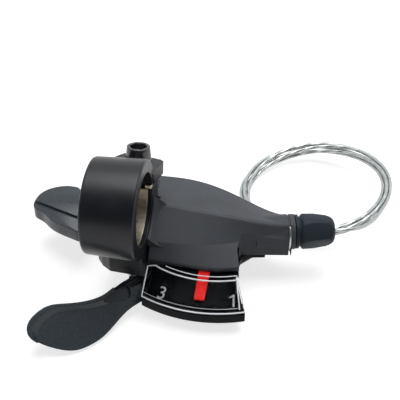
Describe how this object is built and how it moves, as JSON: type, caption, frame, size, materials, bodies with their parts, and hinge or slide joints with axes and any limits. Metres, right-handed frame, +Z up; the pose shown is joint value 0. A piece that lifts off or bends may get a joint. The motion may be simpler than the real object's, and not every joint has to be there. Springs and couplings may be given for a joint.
{
  "type": "trigger gear shifter",
  "caption": "Left-hand trigger shifter with a handlebar clamp, gear window and pointer, thumb and release levers, barrel adjuster and a coiled inner wire.",
  "frame": {"origin": "centre of the handlebar clamp's bore", "axes": "+X along the handlebar toward the middle of the bicycle, +Y forward away from the rider, +Z up"},
  "size_m": [0.115, 0.1122, 0.0467],
  "materials": {
    "clamp_black": "black satin paint",
    "housing_black": "fine matt grain",
    "lever_black": "fine matt grain",
    "adjuster_black": "matt",
    "dial_black": "printed dial",
    "window_clear": "clear plastic",
    "pointer_red": "gloss red",
    "bolt_black": "black oxide",
    "liner_zinc": "yellow zinc plate",
    "steel": "bright zinc plate",
    "spring_steel": "oiled spring steel",
    "wire_bright": "galvanised strand",
    "spool_white": "moulded acetal"
  },
  "bodies": {
    "shifter": {"clamp_band": "clamp_black", "clamp_liner": "liner_zinc", "clamp_bolt": "bolt_black", "clamp_nut": "steel", "foot_screws": "steel", "base_plate": "clamp_black", "base_housing": "housing_black", "bottom_cover": "housing_black", "bottom_screws": "steel", "cover_screw": "steel", "top_cover": "housing_black", "adjuster_clip": "wire_bright", "dial_plate": "dial_black", "window_lens": "window_clear", "pointer_post": "steel", "main_axle": "steel", "axle_clip_upper": "spring_steel", "axle_clip_lower": "spring_steel", "hold_pawl_pin": "steel", "release_pin": "steel", "cable_run": "wire_bright", "cable_lead": "wire_bright", "cable_coil": "wire_bright", "spool_spacer": "steel", "spool_spring": "spring_steel", "thumb_spring": "spring_steel", "release_spring": "spring_steel", "hold_pawl_spring": "spring_steel"},
    "spool": {"spool": "spool_white", "drive_pin": "steel", "index_ratchet": "steel", "cable_nipple": "steel", "cable_wrap": "wire_bright"},
    "pointer": {"pointer": "pointer_red"},
    "thumb_lever": {"thumb_arm": "clamp_black", "thumb_paddle": "lever_black", "drive_pawl_pin": "steel", "drive_pawl_spring": "spring_steel"},
    "drive_pawl": {"drive_pawl": "steel"},
    "hold_pawl": {"hold_pawl": "steel"},
    "release_lever": {"release_arm": "steel", "release_tab": "lever_black"},
    "adjuster": {"adjuster_knob": "adjuster_black", "cable_stop": "steel"}
  },
  "joints": [
    {"name": "spool_turn", "type": "hinge", "parent": "shifter", "child": "spool", "pos_m": [0.026, 0.018, -0.016], "axis": [0, 0, 1], "range_deg": [-30, 30]},
    {"name": "pointer_turn", "type": "hinge", "parent": "shifter", "child": "pointer", "pos_m": [0.026, 0.024, -0.0138], "axis": [0, 0, 1], "range_deg": [-19, 19]},
    {"name": "thumb_push", "type": "hinge", "parent": "shifter", "child": "thumb_lever", "pos_m": [0.026, 0.018, -0.0239], "axis": [0, 0, 1], "range_deg": [-30, 0], "stiffness_Nm_per_rad": 0.2},
    {"name": "drive_pawl_tilt", "type": "hinge", "parent": "thumb_lever", "child": "drive_pawl", "pos_m": [0.01317, 0.00685, -0.0221], "axis": [0, 0, 1], "range_deg": [0, 12], "stiffness_Nm_per_rad": 0.01},
    {"name": "hold_pawl_tilt", "type": "hinge", "parent": "shifter", "child": "hold_pawl", "pos_m": [0.0124, 0.0276, -0.0175], "axis": [0, 0, 1], "range_deg": [-12, 0], "stiffness_Nm_per_rad": 0.01},
    {"name": "release_pull", "type": "hinge", "parent": "shifter", "child": "release_lever", "pos_m": [0.0032, 0.025, -0.0175], "axis": [0, 0, 1], "range_deg": [0, 15], "stiffness_Nm_per_rad": 0.2},
    {"name": "adjuster_turn", "type": "hinge", "parent": "shifter", "child": "adjuster", "pos_m": [0.051, 0.01655, -0.01605], "axis": [0.9781, 0.2079, 0], "range_deg": [-630, 630]}
  ],
  "couplings": [
    {"joint": "pointer_turn", "follows": "spool_turn", "ratio": 0.6}
  ]
}
